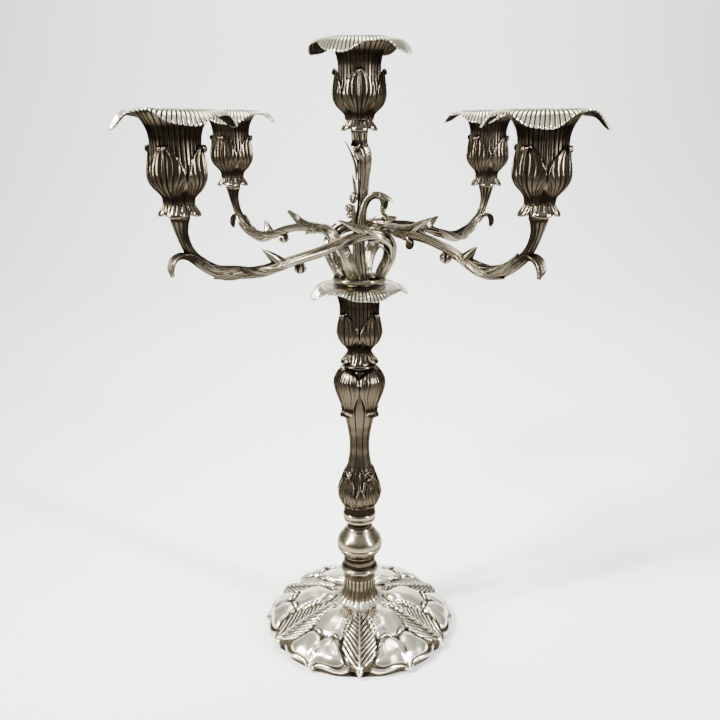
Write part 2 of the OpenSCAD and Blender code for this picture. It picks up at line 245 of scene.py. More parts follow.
def frame_along(spine, across=(0, 1, 0)):
    """Tangent, upward and sideways unit vectors along a spine."""
    along = unit(np.gradient(spine, axis=0))
    up = unit(np.cross(along, np.array(across, float)))
    return along, up, np.cross(along, up)


def tube(spine, radius, around, relief=None, across=(0, 1, 0), ends=None):
    """Swept tube; relief(angle, share along) multiplies the radius, and ends are its ends' directions."""
    along, up, side = frame_along(spine, across)
    if ends:
        for k, end in zip((0, -1), ends):
            along[k] = end
            up[k] = unit(np.cross(along[k], np.array(across, float)))
            side[k] = np.cross(along[k], up[k])
    a = np.arange(around) * TAU / around
    share = np.linspace(0, 1, len(spine))
    scale = relief(a[None, :], share[:, None]) if relief else 1
    r = (np.asarray(radius)[:, None] * scale + 0 * a[None, :])[..., None]
    ring = np.cos(a)[None, :, None] * up[:, None] + np.sin(a)[None, :, None] * side[:, None]
    return shell(spine[:, None] + r * ring, caps=True)


def leaf(spine, out, half, wrap, thick, ribs, veins, lobes, midrib, crown=0.0, columns=25, mid_width=0.1,
         rim=0.0, fan=0.0):
    """Leaf along a spine. out points off its face, half is its half widths, wrap the radius it bends round.
    ribs is (count, depth) of grooves running along it, which fan out to the edges if fan is above 0;
    veins is (count, slant, depth) of grooves off the midrib, and lobes how deep they notch the edge;
    midrib and rim say how far those stand up, and crown how far the whole face swells."""
    rows = len(spine)
    along = unit(np.gradient(spine, axis=0))
    side = unit(np.cross(along, out))
    out = np.cross(side, along)
    s = np.linspace(0, 1, rows)[:, None]
    t = np.linspace(-1, 1, columns)[None, :]
    half = half[:, None]
    wrap = np.broadcast_to(wrap, rows)[:, None]
    rib_count, rib_depth = ribs
    vein_count, slant, vein_depth = veins
    phase = math.pi * vein_count * (s - slant * np.abs(t))
    bend = half * t * (1 - lobes * hump(np.sin(phase), 0.45) * np.abs(t) ** 2) / wrap
    side, out = side[:, None], out[:, None]
    normal = np.cos(bend)[..., None] * out + np.sin(bend)[..., None] * side
    sideways = wrap * np.sin(bend)
    inward = wrap * (1 - np.cos(bend))
    face = spine[:, None] + sideways[..., None] * side - inward[..., None] * out
    uneven = vein_depth * (0.8 + 0.2 * np.sin(7 * s + 3 * t))
    vein = uneven * hump(np.sin(phase), 0.5) * np.clip(4 * np.abs(t), 0, 1)
    rib_wave = np.sin(0.5 * math.pi * rib_count * (t / (1 + fan * s) + 1))
    rib = rib_depth * hump(rib_wave, 0.5) * (1 - 0.4 * t**2)
    raised = midrib * hump(t, mid_width) + rim * hump(np.abs(t) - 0.93, 0.09)
    ends = np.sqrt(np.clip(np.sin(math.pi * (0.04 + 0.92 * s)), 0, 1))
    lift = crown * (1 - t**2) + ends * (raised - vein - rib)
    top = face + lift[..., None] * normal
    bottom = face + (0.5 * lift - thick * (1 - 0.45 * np.abs(t) ** 3))[..., None] * normal
    return shell(np.concatenate([top, bottom[:, ::-1]], 1), caps=True)


def standing_leaf(side, half, angle, thick, rows, **shape):
    """Leaf on a turned body: side is (radius, height) along its midrib, half its half widths there."""
    path = even(np.insert(spline(np.column_stack([side, half]), 6), 1, 0, axis=1), rows)
    spine = path[:, :3]
    along = unit(np.gradient(spine, axis=0))
    out = np.cross(along, np.array([0, 1.0, 0]))
    out = out * np.sign(out[:, 0].sum())
    tightest = 6
    wrap = np.maximum(path[:, 0], tightest)
    return swung([leaf(spine, out, path[:, 3], wrap, thick, **shape)], angle)[0]


# ---- materials ----

def silver(name, base_tone, tarnish_and_shade, grooves, rough=0.15, reach=0.006, darkening=0.9, mottle=0.3):
    """Polished plate with dark oxide in its hollows; its base colour and specular tint are set lighter or
    darker per copy as painted light. darkening is how dark a corner or gap between parts gets, partly oxide
    and partly painted shade, and reach how wide in metres; mottle is how dark the stains are, grooves the
    darkness that is all tarnish_and_shade."""
    material = bpy.data.materials.new(name)
    material.use_nodes = True
    nodes, links = material.node_tree.nodes, material.node_tree.links
    shader = nodes["Principled BSDF"]
    shader.inputs["Metallic"].default_value = 1
    shader.inputs["Specular Tint"].default_value = (*[math.sqrt(sum(base_tone) / 3)] * 3, 1)
    place = nodes.new("ShaderNodeTexCoord")

    def noise(scale, detail):
        node = nodes.new("ShaderNodeTexNoise")
        node.inputs["Scale"].default_value = scale
        node.inputs["Detail"].default_value = detail
        links.new(place.outputs["Object"], node.inputs["Vector"])
        return node.outputs["Fac"]

    def spread(value, low, high, to_low, to_high):
        node = nodes.new("ShaderNodeMapRange")
        ends = {"From Min": low, "From Max": high, "To Min": to_low, "To Max": to_high}
        for socket, number in ends.items():
            node.inputs[socket].default_value = number
        links.new(value, node.inputs["Value"])
        return node.outputs["Result"]

    def plus(first, second):
        node = nodes.new("ShaderNodeMath")
        node.operation = "ADD"
        node.use_clamp = True
        links.new(first, node.inputs[0])
        links.new(second, node.inputs[1])
        return node.outputs[0]

    corner = nodes.new("ShaderNodeAmbientOcclusion")
    corner.samples = 8
    corner.inputs["Distance"].default_value = reach
    hollow_and_painted_light = nodes.new("ShaderNodeAttribute")
    hollow_and_painted_light.attribute_name = "hollow_and_painted_light"
    # Darker in corners and gaps between parts by ambient occlusion: partly oxide in the recesses, partly
    # painted shade where parts shade each other
    corner_oxide_and_shade = spread(corner.outputs["AO"], 0.3, 0.85, darkening, 0)
    hollow_oxide_and_painted_light = spread(hollow_and_painted_light.outputs["Fac"], 0.06, grooves, 0, 1)
    stains = spread(noise(scale=55, detail=5), 0.42, 0.68, 0, mottle)
    total = plus(plus(corner_oxide_and_shade, hollow_oxide_and_painted_light), stains)
    tint = nodes.new("ShaderNodeMix")
    tint.data_type = "RGBA"
    tint.inputs["A"].default_value = (*base_tone, 1)
    tint.inputs["B"].default_value = (*tarnish_and_shade, 1)
    links.new(total, tint.inputs["Factor"])
    links.new(tint.outputs["Result"], shader.inputs["Base Color"])
    tarnish_rough = rough + 0.3
    links.new(spread(total, 0, 1, rough, tarnish_rough), shader.inputs["Roughness"])
    bump = nodes.new("ShaderNodeBump")
    bump.inputs["Strength"].default_value = 0.12
    bump.inputs["Distance"].default_value = 0.0006
    links.new(noise(scale=260, detail=4), bump.inputs["Height"])
    links.new(bump.outputs["Normal"], shader.inputs["Normal"])
    return material


# Five copies of one silver, each given a lighter or darker base colour as painted light: the foot and the
# pans lit brightest, the arms and other turned pieces half lit, the ruffled collars dimmer, and the cups,
# calyxes and baluster darkest, tarnished and painted dark as shade
BRIGHT = silver("silver_bright", (0.64, 0.605, 0.475), (0.024, 0.019, 0.012),
                grooves=0.4, rough=0.16, reach=0.005, mottle=0.16)
FOOT = silver("silver_foot", (0.82, 0.78, 0.64), (0.042, 0.034, 0.022),
              grooves=0.75, rough=0.17, reach=0.005, darkening=0.85, mottle=0.16)
SILVER_DIM_LIT = silver("silver_dim_lit", (0.15, 0.13, 0.094), (0.01, 0.008, 0.005), grooves=0.8)
AGED_AND_SHADED = silver("silver_aged", (0.082, 0.068, 0.048), (0.008, 0.006, 0.004), grooves=0.9)
SILVER_HALF_LIT = silver("silver_half_lit", (0.26, 0.228, 0.166), (0.011, 0.0085, 0.0055), grooves=0.5, darkening=0.95)
BRASS = silver("brass", (0.72, 0.55, 0.28), (0.2, 0.13, 0.06), grooves=1.6, rough=0.32, darkening=0.6, mottle=0.4)
SLOT_MATERIALS = {"silver_bright": BRIGHT, "silver_aged": AGED_AND_SHADED, "brass": BRASS}
for node, obj in frame["nodes"].items():
    obj.data.materials.clear()
    obj.data.materials.append(SLOT_MATERIALS[SLOTS[node]])


# ---- foot ----

# The foot is six leaves and six panels round. Radius of its rim, by degrees off the middle of a panel
SECTOR = 60
FOOT_EDGE = lookup([
    [0, 103], [1.5, 101.4], [4, 99.2], [8, 98.4], [14, 99.6], [19, 98.6], [23, 96.2], [25.5, 95.4],
    [28, 97.2], [30, 101.4]], 4)
# Height of its surface, and half width of a leaf on it, by radius
FOOT_BASE = lookup([
    [20, 36], [22, 34.4], [24, 32.8], [27, 31.4], [32, 30.4], [40, 29], [50, 27.2], [60, 24.2], [70, 21.2],
    [80, 17.4], [90, 13], [98, 9.8], [104, 8.6]])
FOOT_LEAF = lookup([
    [24, 1.5], [31, 2.8], [38, 5.6], [46, 8.8], [56, 12.2], [66, 15.6], [75, 17.8], [82, 17.4], [88, 14.2],
    [93, 9], [98, 5.4], [103, 1.5]])


def off_panel(degrees):
    """Angle in degrees from the middle of the nearest panel."""
    return (degrees + SECTOR / 2) % SECTOR - SECTOR / 2


def rim_drop(r, panel, off_leaf):
    """How far the rim turns down: deepest at the tips of the leaves and the points between the lobes."""
    between = 1.4 + 1.6 * hump(panel, 3.5) + 0.9 * np.cos(np.radians(18 * panel))
    return between * step(r, 92, 99) + 4.6 * step(r, 96, 101.5) * hump(off_leaf, 5)


def foot_relief(r, a):
    """Height of the foot at radius r and angle a in degrees, off the neck."""
    panel = off_panel(a)
    edge = FOOT_EDGE(np.abs(panel))
    across = r * np.sin(np.radians(panel))
    off_leaf = r * np.sin(np.radians(SECTOR / 2 - np.abs(panel)))
    z = FOOT_BASE(r)

    # leaf, its base at the rim and its tip at the neck
    vein_spacing = 6.4
    side = np.sign(np.sin(np.radians(360 / SECTOR * a)))
    ragged = 1.7 * np.sin(r / 8 + 1.4 * side + a / 57)
    phase = math.pi * (r + 1.5 * off_leaf - 0.012 * off_leaf**2 + ragged) / vein_spacing
    vein = np.sin(phase)
    width = FOOT_LEAF(r) * (1 - 0.2 * hump(vein, 0.4))
    inside = off_leaf / width
    on_leaf = step(1.06 - inside, 0, 0.14) * step(r, 29, 36)
    groove = 2.8 * hump(vein, 0.42) * np.clip(inside * 5, 0, 1) * step(99 - r, 0, 8)
    midrib = 2.4 * hump(off_leaf, 1.5)
    z = z + on_leaf * (2.6 + 1.7 * inside**2 - groove + 0.3 * np.cos(6 * phase) + midrib)

    # ditch between leaf and lobes
    z = z - 1.3 * hump(inside - 1.12, 0.1) * step(r, 34, 42)

    # inner lobe
    half = 8 + 16 * step(r, 28, 54)
    plum = np.abs((r - 49.5) / 23.5) ** 2.4 + np.abs(across / half) ** 2.4
    z = z + 9.6 * np.clip(1 - plum, 0, 1) ** 0.5 * (1 - on_leaf)

    # outer lobe, a pillow with a shallow cleft toward the rim
    room = np.maximum(0.5 * r - 0.9 * FOOT_LEAF(r), 1)
    start = 67 + 5 * hump(across, 7)
    end = edge - 2
    along = (r - 0.5 * (start + end)) / (0.5 * (end - start))
    pillow = np.clip(1 - np.abs(along) ** 2.6 - np.abs(across / room) ** 3.2, 0, 1) ** 0.5
    cleft = 1 - 0.16 * hump(across - 2 * np.sin(r / 6), 3.5) * step(r, 80, 94)
    z = z + 8.6 * pillow * cleft

    # dents, and the lip along the panel's edge
    dents = 0.35 * np.sin(across / 3.1 + r / 4.7) * np.sin(r / 5.3 - across / 7.1)
    lip = 1.9 * hump(edge - r - 1.2, 1.2) * step(np.abs(off_leaf), 4, 9)
    return z + dents * (1 - on_leaf) * step(r, 30, 40) + lip - rim_drop(r, panel, off_leaf)


# The neck as (height, radius), the underside as (radius, height), the skirt as (off its outline, height)
FOOT_NECK = [[64, 16.5], [56, 16.5], [48, 16.6], [43, 17], [38.6, 18.4], [34.6, 21.6]]
FOOT_UNDER = [[90, 10.6], [78, 14.6], [62, 20.6], [45, 25.4], [27, 28.8], [21, 30], [15.6, 38], [14.7, 64]]
FOOT_SKIRT = [[-2, SKIRT], [-0.2, SKIRT], [-0.4, 6], [-0.1, 3.4], [0.9, 1.4], [1.2, 0.4], [1, 0], [-2, 0],
              [-2, 4]]


def foot():
    around, rows, dome_start = 720, 190, 22
    a = angles(around)
    degrees = np.degrees(a)
    panel = off_panel(degrees)
    edge = FOOT_EDGE(np.abs(panel))
    flute = 0.7 * (0.5 + 0.5 * np.cos(24 * a))
    neck_z, neck_r = spline(FOOT_NECK, 6).T[:, None]
    neck = revolve(neck_r - flute * step(61 - neck_z, 0, 6), neck_z, a)
    share = np.linspace(0, 1, rows)[None, :]
    r = dome_start + share * (edge - dome_start)
    blend = step(r, dome_start, 28)
    z = foot_relief(r, degrees) * blend + (1 - blend) * FOOT_BASE(r) - flute * step(36 - r, 0, 12)
    drop = rim_drop(edge, panel, edge * np.sin(np.radians(SECTOR / 2 - np.abs(panel))))
    lip = [revolve(edge - inset, SKIRT + rise - share_of_drop * drop, a) for inset, rise, share_of_drop in
           ((0.1, 0.4, 1), (0.6, -0.2, 1), (2.4, -0.2, 0.6), (6, 1.4, 0))]
    under_r, under_z = np.array(FOOT_UNDER).T[:, None]
    under = revolve(under_r, under_z, a)
    chased = [shell(np.concatenate([neck, revolve(r, z, a), *lip, under], 1))]
    # The neck is made darker above the dome, and a band where the neck meets the dome lighter
    chased = toned_by_place(chased, lambda r, z: 0.44 * step(z, 37, 45) - 0.3 * hump(z - 33, 4) * step(40 - r, 0, 6))
    piece("foot_shell", "chased", chased, "candlestick", FOOT)

    # the skirt's outline follows the rim's by about a third
    skirt_out = 0.35 * (edge - 3.4) + 60.4
    skirt = [revolve(skirt_out + off, np.full_like(edge, height), a) for off, height in FOOT_SKIRT]
    # The skirt takes the darkest silver: painted shade under the overhanging rim
    piece("foot_skirt", "plain", [shell(np.concatenate(skirt, 1))], "candlestick", AGED_AND_SHADED)


foot()


# ---- candlestick ----

def stem_piece(node, kind, side, relief=None, extra=(), material=SILVER_HALF_LIT, around=192):
    """Turned piece of the stem. Its side is (height, radius) rows, and extra is shells laid on it."""
    piece(node, kind, [turned(side, relief=relief, around=around), *extra], "candlestick", material)


stem_piece("foot_collar", "beaded", [
    [64, 17.2], [66, 18.4], [67.2, 19.4], [69, 19.9], [70.8, 19.4], [72, 18], [73.2, 17.1], [76, 16.7],
    [81, 16.7], [83.5, 17.1], [85.5, 18], [88, 18.8]])
stem_piece("lower_knop", "ringed", [
    [88, 18.8], [90, 21.4], [93, 23], [95.3, 23.5], [96.2, 23.1], [96.8, 22.9], [97.5, 23.5], [99.5, 23.6],
    [102.5, 23.1], [105.5, 22], [108, 20.3], [110.5, 18.3], [113, 16.3], [116, 14.1], [118, 13.2]])
stem_piece("ring_collar", "beaded", [
    [118, 13.2], [120.5, 12.7], [122.5, 13.6], [124, 14.9], [125.5, 16.2], [127.5, 16.7], [129, 16.3],
    [130, 16.6], [132, 17.2], [134, 17], [135, 16.5], [137, 16.2], [141, 16.4], [144, 17.6], [145, 18.2]])

BALUSTER_PANELS = 10


def baluster_relief(a, z):
    wave = np.cos(BALUSTER_PANELS / 2 * (a + 0.31))
    panels = 0.5 * np.abs(wave) - 1.1 * hump(wave, 0.14)
    hatch = -0.5 * hump(np.sin(24 * a), 0.4)
    beads = 0.5 * np.cos(40 * a) * hump(z - 146.5, 1.4)
    return panels * step(z, 178, 192) + hatch * (1 - step(z, 176, 184)) + beads


BALUSTER = [[145, 18.2], [148, 19.8], [151, 21.2], [155, 21.6], [158, 21.3], [162, 20.4], [165, 19.4],
            [169, 18.2], [172, 17.2], [176, 16.2], [180, 15], [184, 13.6], [188, 12.3], [193, 11.3],
            [199, 10.4], [206, 10], [212, 9.9], [219, 10.4], [226, 11.4], [232, 12.5], [239, 14.1],
            [250, 15.4], [262, 16], [280, 15.6], [292, 14.6]]
BALUSTER_AT = lookup(BALUSTER)


def strand(points, thick, thin):
    """Wire laid on the baluster through (sideways, height) points."""
    samples = 30
    line = even(np.insert(spline(points, 8), 2, 0, axis=1), samples)
    r = BALUSTER_AT(line[:, 1]) + 1.1
    a = np.arcsin(np.clip(line[:, 0] / r, -0.95, 0.95))
    spine = np.stack([r * np.cos(a), r * np.sin(a), line[:, 1]], 1)
    return tube(spine, np.linspace(thick, thin, samples), around=10, across=(1, 0, 0.01))


def baluster_leaves():
    """Four tall and four short leaves round the bulb, and a sprig of wires over each short one."""
    tall = [[18.3, 146], [20.4, 148.6], [21.8, 152], [22, 156], [21.3, 161], [19.9, 166], [18.6, 170.5],
            [17.8, 174], [17.1, 177.4]]
    tall_half = [12.5, 13.8, 14.6, 14, 12, 9.2, 6.2, 3.4, 0.8]
    short = [[18.3, 146], [20, 148.6], [21.2, 152], [21.5, 156], [20.9, 161], [19.8, 165.5], [19, 168.6]]
    short_half = [8, 9, 9, 8, 5.6, 3, 0.8]
    look = dict(thick=1.3, rows=60, columns=37, ribs=(7, 0.3), veins=(3, 1.3, 0.6), lobes=0.08, midrib=0.8,
                rim=0.3)
    shells = [standing_leaf(short, short_half, a, **look) for a in QUARTERS]
    shells += [standing_leaf(tall, tall_half, a, **look) for a in DIAGONALS]
    ring_radius = 3.6
    ring = [[9.4 + ring_radius * math.cos(t), 180 + ring_radius * math.sin(t)]
            for t in np.linspace(-2.2, 3.4, 12)]
    sprig = [strand([[-6.6, 158], [-6.4, 166], [-7.4, 172], [-10.6, 178], [-13, 182]], 1.6, 1.2),
             strand([[-3.4, 158.6], [-1, 164], [1, 167], [3.4, 164.4], [5.4, 160]], 1.3, 1.3),
             strand([[0, 166], [0, 172], [0.2, 179], [0, 185]], 1.7, 0.5),
             strand([[3.6, 164], [4.8, 170], [6, 175]], 1.4, 1.5),
             strand(ring, 1.7, 1.2)]
    for turn in QUARTERS:
        shells += swung(sprig, turn)
    return shells


stem_piece("baluster", "panelled", BALUSTER, baluster_relief, baluster_leaves(), AGED_AND_SHADED, around=360)


def shoulder():
    """Four drooping leaves, their tips turned out and painted bright as a highlight."""
    side = [[12, 293], [18.6, 292.2], [22.2, 288.6], [24.8, 284], [25.6, 279], [25.2, 273], [23.6, 267],
            [21.6, 261.6], [19.8, 256.6], [18.9, 252.8], [19.2, 250], [20.6, 247.8], [22.4, 246.9],
            [24, 246.8]]
    half = [9.2, 14.4, 17.8, 19.4, 20, 19.8, 17.6, 13.6, 10.6, 9, 8.4, 7.6, 5.8, 2.2]
    look = dict(thick=1.4, rows=100, columns=85, ribs=(17, 0.42), fan=0.8, veins=(1.1, 4, 0.4), lobes=0.03,
                midrib=0.8, crown=1.2, rim=0.5)
    leaves = [standing_leaf(side, half, a, **look) for a in DIAGONALS]
    # Painted highlight: the tips, below 251 mm, lose the dark in their grooves
    return toned_by_place(leaves, lambda r, z: -2 * step(251 - z, 0, 2.5))


piece("shoulder_calyx", "leaves", shoulder(), "candlestick", AGED_AND_SHADED)


def ruffle(height, wide, low):
    """Fluted neck that spreads into four scrolled petals, height tall with its top at height low."""
    a = angles(384)
    s = np.abs(np.cos(2 * a)) ** 0.7
    n = -1.2 * hump(np.sin(10 * a), 0.45)
    # (radius, height) from the top down, where s is 1 in the middle of a petal and n is the flutes
    rows = [(10.5 + n, -0.2), (10.6 + 0.2 * s + n, -1.8), (10.9 + 0.7 * s + n, -4),
            (11.5 + 1.7 * s + n, -6.4), (12.2 + 2.9 * s + 0.7 * n, -8.6 - 0.6 * s),
            (12.7 + 3.9 * s + 0.2 * n, -10 - 1.8 * s), (12.5 + 4 * s, -11 - 3 * s),
            (11.4 + 2.8 * s, -11.4 - 3.2 * s), (10.4 + 1.5 * s, -11.2 - 2.4 * s),
            (9.4 + 0.6 * s, -11.2 - s), (8.6, -12.6), (8, -14.2), (7.9, -COLLAR)]
    points = [np.concatenate([np.broadcast_to(r, a.shape), np.broadcast_to(h, a.shape)], 1) for r, h in rows]
    smooth = spline(np.stack(points).reshape(len(rows), -1), 4).reshape(-1, len(a), 2)
    r, z = smooth[..., 0].T * wide, smooth[..., 1].T * height / COLLAR
    outside = revolve(r, np.maximum(z, -height) + low, a)
    stud_hole = revolve(np.array([[4.0, 4.0]]), np.array([[low - height, low - 0.2]]), a)
    return shell(np.concatenate([outside, stud_hole], 1))


neck_base = turned([[293, 14.4], [294.2, 15.4], [295.6, 15.6], [297, 14.8], [298, 13]])
piece("neck_knop", "ruffled", [ruffle(16.5, 1.13, STICK_WAIST), neck_base], "candlestick", AGED_AND_SHADED)


# ---- cup, calyx, pan ----

def cup_shell():
    """Tulip cup with its waist at height 0, fluted outside, and hollow inside down to its stud hole."""
    a = angles(448)
    side = spline([[0, 10.8], [3, 12.2], [6, 15.2], [9, 18], [13, 20.2], [17, 20.9], [24, 20.7], [32, 20],
                   [40, 19.7], [46, 20.1], [52, 21.8], [57, 24.6], [61, 27.3], [64, 29]], 6)
    z, r = side[:, 0][None], side[:, 1][None]
    groove = -1.05 * hump(np.sin(16 * a), 0.36) * step(z, 14, 22)
    outer = revolve(r + groove, z, a)
    inner_side = np.array([
        [26.6, 64], [23.6, 60], [19.5, 55.5], [15, 53.6], [13, 52], [13, 44], [15, 42.4], [16.4, 40],
        [17, 32], [18.2, 24], [18.8, 17], [18.2, 13], [16, 9], [12.6, 5.5], [3.2, 4], [3.2, 0]])
    inner = revolve(inner_side[:, 0][None], inner_side[:, 1][None], a)
    return shell(np.concatenate([outer, inner], 1))


def cup_leaves():
    """Four leaves up the cup, their tips turned out."""
    side = [[11.5, -4.6], [11.6, -2.4], [12, -0.4], [13, 1.8], [15.8, 4.8], [19, 8], [21.3, 12],
            [22.3, 16], [22.4, 20], [22, 25], [21.4, 30], [21.1, 34], [21.3, 36.8], [22, 38.4], [23, 38.5],
            [23.8, 37.2], [23.9, 35.6], [23.4, 34.4]]
    half = [8.8, 8.8, 9.1, 10, 12.2, 14.7, 16.3, 16.9, 16.7, 15, 11.8, 8, 5.2, 3.8, 3.2, 2.8, 2.4, 1]
    look = dict(thick=1.6, rows=104, columns=85, ribs=(17, 0.6), fan=3, veins=(2.2, 1.1, 0.25), lobes=0.02,
                midrib=1.2, mid_width=0.06, crown=1.3, rim=0.4)
    leaves = [standing_leaf(side, half, a, **look) for a in QUARTERS]
    # Painted shade: the leaves are darker low down, below 8 mm and fading out by 19 mm
    return toned_by_place(leaves, lambda r, z: 0.35 * (1 - step(z, 8, 19)))


# Height of a pan's sheet over its flat middle, by share of the way out: down a petal, and between two
PETAL_TIP = lookup([[0, 0], [0.25, 0.1], [0.5, -0.8], [0.7, -3.6], [0.86, -8], [1, -13.2]])
PETAL_NOTCH = lookup([[0, 0], [0.3, 0.1], [0.6, -0.2], [0.85, -1.6], [1, -3.4]])
# Radius of a pan's hole and of its flat middle, and heights of its underside, middle and highest ridge
PAN_HOLE = 12.9
PAN_BEND = 26
PAN_UNDER = 64.0
PAN_TOP = 65.4
PAN_CREST = 65.9
PAN_RIDGES = 80


def pan_shell(bends, rises):
    """Four-petalled pan. bends says how far each petal hangs, as a share of the usual, from +X round;
    rises says how far the rim stands up in each gap between petals."""
    a = angles(PAN_RIDGES * 10)
    lobe = 0.5 + 0.5 * np.cos(4 * a)
    tooth = hump(np.sin(PAN_RIDGES / 2 * a), 0.34)
    edge = 42.3 + 6 * lobe**0.6
    cut = edge - 1.7 * tooth
    hang = lobe ** 1.1
    bend = np.array(bends)[np.round(a / (TAU / 4)).astype(int) % 4]
    rise = np.array(rises)[np.floor(a / (TAU / 4)).astype(int) % 4]

    def sheet(q, below):
        """Radius and height a share q of the way out, this far below the top face."""
        r = PAN_HOLE + (cut - PAN_HOLE) * q
        w = np.clip((r - PAN_BEND) / (edge - PAN_BEND), 0, 1)
        petal = hang * bend * PETAL_TIP(w)
        gap = (1 - hang) * (PETAL_NOTCH(w) + rise * w**2)
        z = PAN_TOP + petal + gap + 0.7 * np.cos(12 * a + 0.8) * w**3
        slope = np.gradient(z, axis=1) / np.gradient(r, axis=1)
        down = (below + 1.35 * tooth * step(r, 15, 32)) / np.sqrt(1 + slope**2)
        return r + down * slope, np.minimum(z - down, PAN_CREST + 0.6 * rise)

    top_r, top_z = sheet(np.linspace(0, 1, 60)[None, :], 0)
    low_r, low_z = sheet(np.linspace(1, 0.36, 22)[None, :], 1.3)
    low_z[:, -1] = PAN_UNDER
    hole = revolve(np.array([[PAN_HOLE]]), np.array([[PAN_UNDER]]), a)
    grid = np.concatenate([revolve(top_r, top_z, a), revolve(low_r, low_z, a), hole], 1)
    points, faces, hollow_and_painted_light = shell(grid)
    # Painted shade: the pan's underside is made darker
    underside = np.tile(np.arange(grid.shape[1]) >= top_z.shape[1], len(a))
    return points, faces, hollow_and_painted_light + 0.25 * underside


CUP = mesh("tulip_cup", [cup_shell()])
LEAVES = mesh("cup_calyx", cup_leaves())
RUFFLE = mesh("ruffle_collar", [ruffle(COLLAR, 1, 0)])


def pan(node, spot, turn, bends, rises=(0, 0, 0, 0)):
    """A petal pan turned on its cup."""
    piece(node, "petals", swung([pan_shell(bends, rises)], turn), node, BRIGHT, spot)


def cup_and_calyx(cup, calyx, body, spot, calyx_turn=0):
    piece(cup, "fluted", CUP, body, AGED_AND_SHADED, spot)
    piece(calyx, "leaves", LEAVES, body, AGED_AND_SHADED, spot, calyx_turn)


cup_and_calyx("stick_cup", "stick_calyx", "candlestick", (0, 0, STICK_WAIST), 45)
pan("stick_pan", (0, 0, STICK_WAIST), 13, (0.85, 1, 0.95, 0.6))

# Turn of each pan, how far its petals hang, and how far its rim rises between them
PANS = {"front_left": (24, (1, 1, 1.12, 0.85), (0, 0, 3.8, 0)),
        "front_right": (-12, (1.12, 1, 1, 1.05), (0, 0, 1, 3.4)),
        "back_right": (-18, (1, 1, 1, 1)),
        "back_left": (5, (1, 0.95, 1, 1.1))}
CALYX_TURNS = {"front_left": -14, "front_right": 45, "back_right": 50, "back_left": -19}
piece("centre_collar", "ruffle", RUFFLE, "branches", SILVER_DIM_LIT, (0, 0, CENTRE_WAIST))
cup_and_calyx("centre_cup", "centre_calyx", "branches", (0, 0, CENTRE_WAIST))
pan("pan_centre", (0, 0, CENTRE_WAIST), -24, (1.15, 1, 1, 1.1))
for side_name, azimuth in SIDES.items():
    a = math.radians(azimuth)
    spot = (REACH * math.cos(a), REACH * math.sin(a), ARM_WAIST)
    piece(f"collar_{side_name}", "ruffle", RUFFLE, "branches", SILVER_DIM_LIT, spot)
    cup_and_calyx(f"cup_{side_name}", f"calyx_{side_name}", "branches", spot, CALYX_TURNS[side_name])
    pan(f"pan_{side_name}", spot, *PANS[side_name])


# ---- branch unit ----

# An arm drawn along +X: out, across, height above the plate, radius, share of the casting's own dip
ARM_TOP = ARM_WAIST - COLLAR - ARM_FOOT
ARM_LINE = [[-8, 17, 0, 5.2, 0], [-10.5, 21, 9, 5.3, 0], [-12, 27, 21, 5.2, 0], [-8, 31, 33, 5.2, 0],
            [3, 31, 42, 5.1, 0], [18, 25, 46, 5.3, 0.1], [36, 17, 45.5, 5.2, 0.4], [58, 11.5, 44.5, 5, 0.85],
            [80, 8, 42.5, 4.9, 1], [105, 5, 37, 4.9, 0.9], [128, 3, 29, 5.1, 0.5], [148, 2, 25, 5.4, 0],
            [167, 1, 29, 5.1, 0], [181, 0, 37.5, 4.6, 0], [190.5, 0, 48, 4.3, 0], [195.5, 0, 60, 4.9, 0],
            [REACH, 0, ARM_TOP - 4, 6.8, 0], [REACH, 0, ARM_TOP, 8, 0]]
# For each casting: its dip, how much slimmer it is half way out, where its first leaf, scroll, bud and thorn
# sit along it, how blunt the first leaf's tip is, its hooked leaf's reach, width and drop, and the painted
# shade on its outer part
CASTINGS = {
    "front_left": dict(dip=13, slim=0, leaf=(-4, 36, 15), blunt=1, scroll=None, bud=83,
                       thorn=(100, 118, 13), hook=(0, 1, 0), darkening=0.3),
    "front_right": dict(dip=-1, slim=0.13, leaf=(22, 78, 15), blunt=1, scroll=58, bud=104,
                        thorn=(123, 132, 12), hook=(-6.5, 1.35, 2.6), darkening=0.3),
    "back_right": dict(dip=0, slim=0.22, leaf=(22, 62, 3), blunt=1, scroll=None, bud=98,
                       thorn=(102, 116, 12), hook=(2, 0.8, 0), darkening=0),
    "back_left": dict(dip=1, slim=0.15, leaf=(40, 92, 13), blunt=2, scroll=None, bud=109,
                      thorn=(131, 136, 12), hook=(-7, 0.8, 0), darkening=0)}


def smooth_at(values, share):
    """Smooth curve through evenly spaced values, read at a share of its length."""
    return lookup(np.column_stack([np.linspace(0, 1, len(values)), values]))(share)


